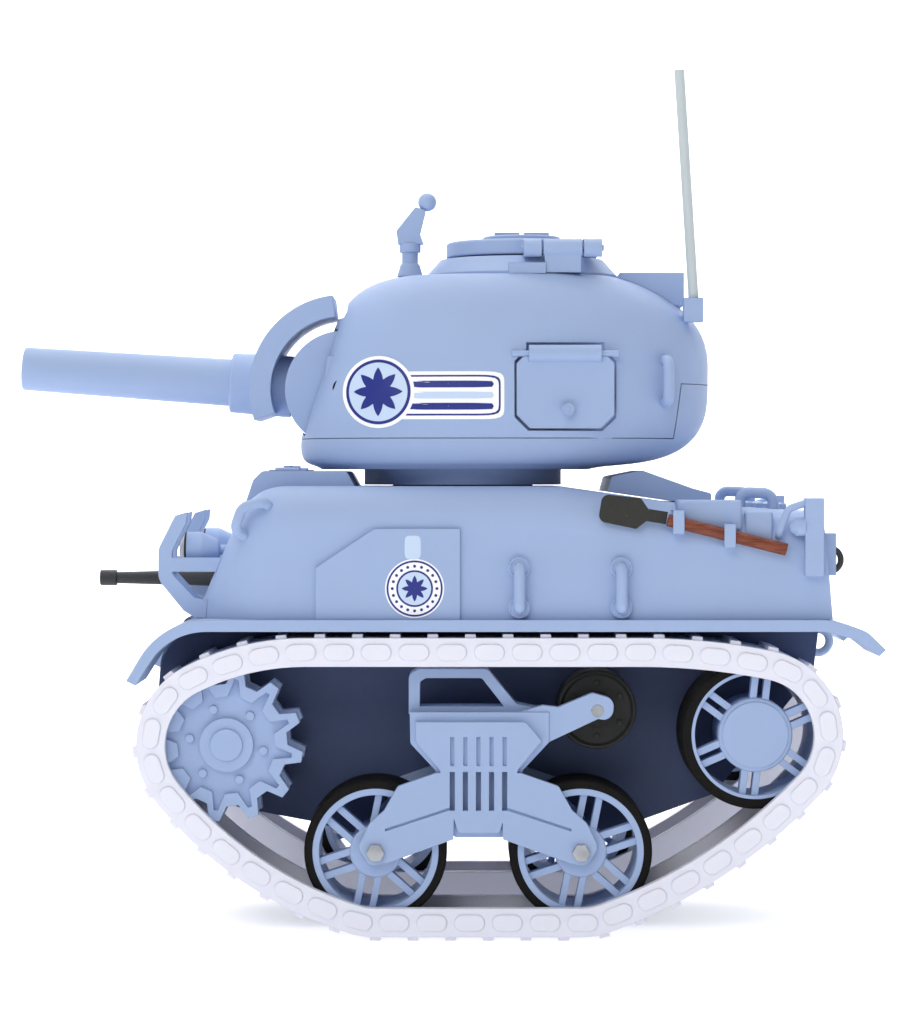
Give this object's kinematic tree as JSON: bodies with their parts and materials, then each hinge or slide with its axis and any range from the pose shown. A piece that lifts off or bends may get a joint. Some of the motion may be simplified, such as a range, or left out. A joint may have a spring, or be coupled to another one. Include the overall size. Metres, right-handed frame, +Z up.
{
  "type": "radio-control tank",
  "caption": "Short palm-size radio-control tank with soft tracks, fixed bogies, turning turret, tilting gun and hinged hatches.",
  "frame": {"origin": "ground level under the middle of the model's bounding box", "axes": "+Z up, the gun points to -X, the left side faces -Y"},
  "size_m": [0.1426, 0.0654, 0.1419],
  "materials": {
    "blue_plastic": "matte moulded plastic",
    "slate_plastic": "matte moulded plastic, darker than the upper hull",
    "track_white": "soft white vinyl",
    "tyre_black": "matte rubber",
    "roller_black": "matte moulded plastic",
    "gun_black": "matte moulded plastic",
    "shovel_grey": "painted plastic",
    "handle_brown": "painted plastic",
    "antenna_clear": "translucent plastic",
    "lens_clear": "clear lens",
    "steel": "turned steel",
    "gear_white": "acetal",
    "board_green": "circuit board",
    "battery_wrap": "shrink sleeve"
  },
  "bodies": {
    "hull": {"lower_hull": "slate_plastic", "transmission_cover": "slate_plastic", "upper_hull": "blue_plastic", "left_fender": "blue_plastic", "right_fender": "blue_plastic", "grab_handles": "blue_plastic", "lifting_rings": "blue_plastic", "headlamps": "blue_plastic", "headlamp_lenses": "lens_clear", "headlamp_guards": "blue_plastic", "engine_hood": "blue_plastic", "stowage_boxes": "blue_plastic", "tail_lamps": "blue_plastic", "shovel_blade": "shovel_grey", "shovel_handle": "handle_brown", "left_track": "track_white", "right_track": "track_white", "left_bogie": "blue_plastic", "right_bogie": "blue_plastic", "wheel_pins": "steel", "drive_motors": "steel", "gearbox_frame": "gear_white", "battery_pack": "battery_wrap", "circuit_board": "board_green", "board_screws": "steel"},
    "left_drive": {"left_sprocket": "blue_plastic", "left_drive_axle": "gear_white"},
    "left_pinion": {"left_motor_pinion": "gear_white"},
    "left_front_roadwheel": {"left_front_wheel": "blue_plastic", "left_front_tyre": "tyre_black"},
    "left_rear_roadwheel": {"left_rear_wheel": "blue_plastic", "left_rear_tyre": "tyre_black"},
    "left_idler_wheel": {"left_idler": "blue_plastic", "left_idler_tyre": "tyre_black"},
    "left_roller": {"left_return_roller": "roller_black"},
    "left_hatch": {"left_driver_hatch": "blue_plastic"},
    "right_drive": {"right_sprocket": "blue_plastic", "right_drive_axle": "gear_white"},
    "right_pinion": {"right_motor_pinion": "gear_white"},
    "right_front_roadwheel": {"right_front_wheel": "blue_plastic", "right_front_tyre": "tyre_black"},
    "right_rear_roadwheel": {"right_rear_wheel": "blue_plastic", "right_rear_tyre": "tyre_black"},
    "right_idler_wheel": {"right_idler": "blue_plastic", "right_idler_tyre": "tyre_black"},
    "right_roller": {"right_return_roller": "roller_black"},
    "right_hatch": {"right_driver_hatch": "blue_plastic"},
    "bow_mg": {"bow_gun": "gun_black"},
    "switch": {"power_switch": "gun_black"},
    "turret": {"turret_base": "blue_plastic", "turret_shell": "blue_plastic", "turret_fittings": "blue_plastic", "antenna": "antenna_clear", "cupola_ring": "blue_plastic"},
    "gun": {"gun_rotor": "blue_plastic", "gun_shield": "blue_plastic", "gun_barrel": "blue_plastic"},
    "hatch_lid": {"cupola_hatch": "blue_plastic"},
    "port": {"pistol_port": "blue_plastic"},
    "spotlight": {"roof_spotlight": "blue_plastic"}
  },
  "joints": [
    {"name": "left_sprocket_spin", "type": "hinge", "parent": "hull", "child": "left_drive", "pos_m": [-0.0345, -0.0235, 0.0312], "axis": [0, 1, 0], "continuous": true},
    {"name": "left_pinion_spin", "type": "hinge", "parent": "hull", "child": "left_pinion", "pos_m": [-0.02705, -0.0099, 0.03642], "axis": [0, 1, 0], "continuous": true},
    {"name": "left_front_wheel_spin", "type": "hinge", "parent": "hull", "child": "left_front_roadwheel", "pos_m": [-0.0105, -0.0235, 0.01405], "axis": [0, 1, 0], "continuous": true},
    {"name": "left_rear_wheel_spin", "type": "hinge", "parent": "hull", "child": "left_rear_roadwheel", "pos_m": [0.0225, -0.0235, 0.01405], "axis": [0, 1, 0], "continuous": true},
    {"name": "left_idler_spin", "type": "hinge", "parent": "hull", "child": "left_idler_wheel", "pos_m": [0.0506, -0.0235, 0.0328], "axis": [0, 1, 0], "continuous": true},
    {"name": "left_roller_spin", "type": "hinge", "parent": "hull", "child": "left_roller", "pos_m": [0.0252, -0.0235, 0.0367], "axis": [0, 1, 0], "continuous": true},
    {"name": "right_sprocket_spin", "type": "hinge", "parent": "hull", "child": "right_drive", "pos_m": [-0.0345, 0.0235, 0.0312], "axis": [0, 1, 0], "continuous": true},
    {"name": "right_pinion_spin", "type": "hinge", "parent": "hull", "child": "right_pinion", "pos_m": [-0.02705, 0.0099, 0.02598], "axis": [0, 1, 0], "continuous": true},
    {"name": "right_front_wheel_spin", "type": "hinge", "parent": "hull", "child": "right_front_roadwheel", "pos_m": [-0.0105, 0.0235, 0.01405], "axis": [0, 1, 0], "continuous": true},
    {"name": "right_rear_wheel_spin", "type": "hinge", "parent": "hull", "child": "right_rear_roadwheel", "pos_m": [0.0225, 0.0235, 0.01405], "axis": [0, 1, 0], "continuous": true},
    {"name": "right_idler_spin", "type": "hinge", "parent": "hull", "child": "right_idler_wheel", "pos_m": [0.0506, 0.0235, 0.0328], "axis": [0, 1, 0], "continuous": true},
    {"name": "right_roller_spin", "type": "hinge", "parent": "hull", "child": "right_roller", "pos_m": [0.0252, 0.0235, 0.0367], "axis": [0, 1, 0], "continuous": true},
    {"name": "turret_turn", "type": "hinge", "parent": "hull", "child": "turret", "pos_m": [0.0036, 0, 0.0742], "axis": [0, 0, 1], "range_deg": [-90, 90]},
    {"name": "gun_elevate", "type": "hinge", "parent": "turret", "child": "gun", "pos_m": [-0.0164, 0, 0.089], "axis": [0, 1, 0], "range_deg": [-9, 8]},
    {"name": "cupola_hatch_open", "type": "hinge", "parent": "turret", "child": "hatch_lid", "pos_m": [0.0201, -0.0152, 0.1122], "axis": [1, 0, 0], "range_deg": [0, 110]},
    {"name": "pistol_port_open", "type": "hinge", "parent": "turret", "child": "port", "pos_m": [0.02025, -0.0239, 0.0944], "axis": [-1, 0, 0], "range_deg": [0, 80]},
    {"name": "spotlight_swivel", "type": "hinge", "parent": "turret", "child": "spotlight", "pos_m": [-0.0053, -0.005, 0.11], "axis": [0, 0, 1], "range_deg": [-180, 180]},
    {"name": "left_hatch_open", "type": "hinge", "parent": "hull", "child": "left_hatch", "pos_m": [-0.0254, -0.016, 0.0754], "axis": [1, 0, 0], "range_deg": [0, 100]},
    {"name": "right_hatch_open", "type": "hinge", "parent": "hull", "child": "right_hatch", "pos_m": [-0.0254, 0.016, 0.0754], "axis": [-1, 0, 0], "range_deg": [0, 100]},
    {"name": "bow_gun_tilt", "type": "hinge", "parent": "hull", "child": "bow_mg", "pos_m": [-0.0374, 0.011, 0.0568], "axis": [0, 1, 0], "range_deg": [-8, 8]},
    {"name": "switch_slide", "type": "slide", "parent": "hull", "child": "switch", "axis": [1, 0, 0], "range_m": [0, 0.003]}
  ],
  "couplings": [
    {"joint": "left_pinion_spin", "follows": "left_sprocket_spin", "ratio": -4},
    {"joint": "left_front_wheel_spin", "follows": "left_sprocket_spin", "ratio": 1.0723},
    {"joint": "left_rear_wheel_spin", "follows": "left_sprocket_spin", "ratio": 1.0723},
    {"joint": "left_idler_spin", "follows": "left_sprocket_spin", "ratio": 1.037},
    {"joint": "left_roller_spin", "follows": "left_sprocket_spin", "ratio": 1.9688},
    {"joint": "right_pinion_spin", "follows": "right_sprocket_spin", "ratio": -4},
    {"joint": "right_front_wheel_spin", "follows": "right_sprocket_spin", "ratio": 1.0723},
    {"joint": "right_rear_wheel_spin", "follows": "right_sprocket_spin", "ratio": 1.0723},
    {"joint": "right_idler_spin", "follows": "right_sprocket_spin", "ratio": 1.037},
    {"joint": "right_roller_spin", "follows": "right_sprocket_spin", "ratio": 1.9688}
  ]
}
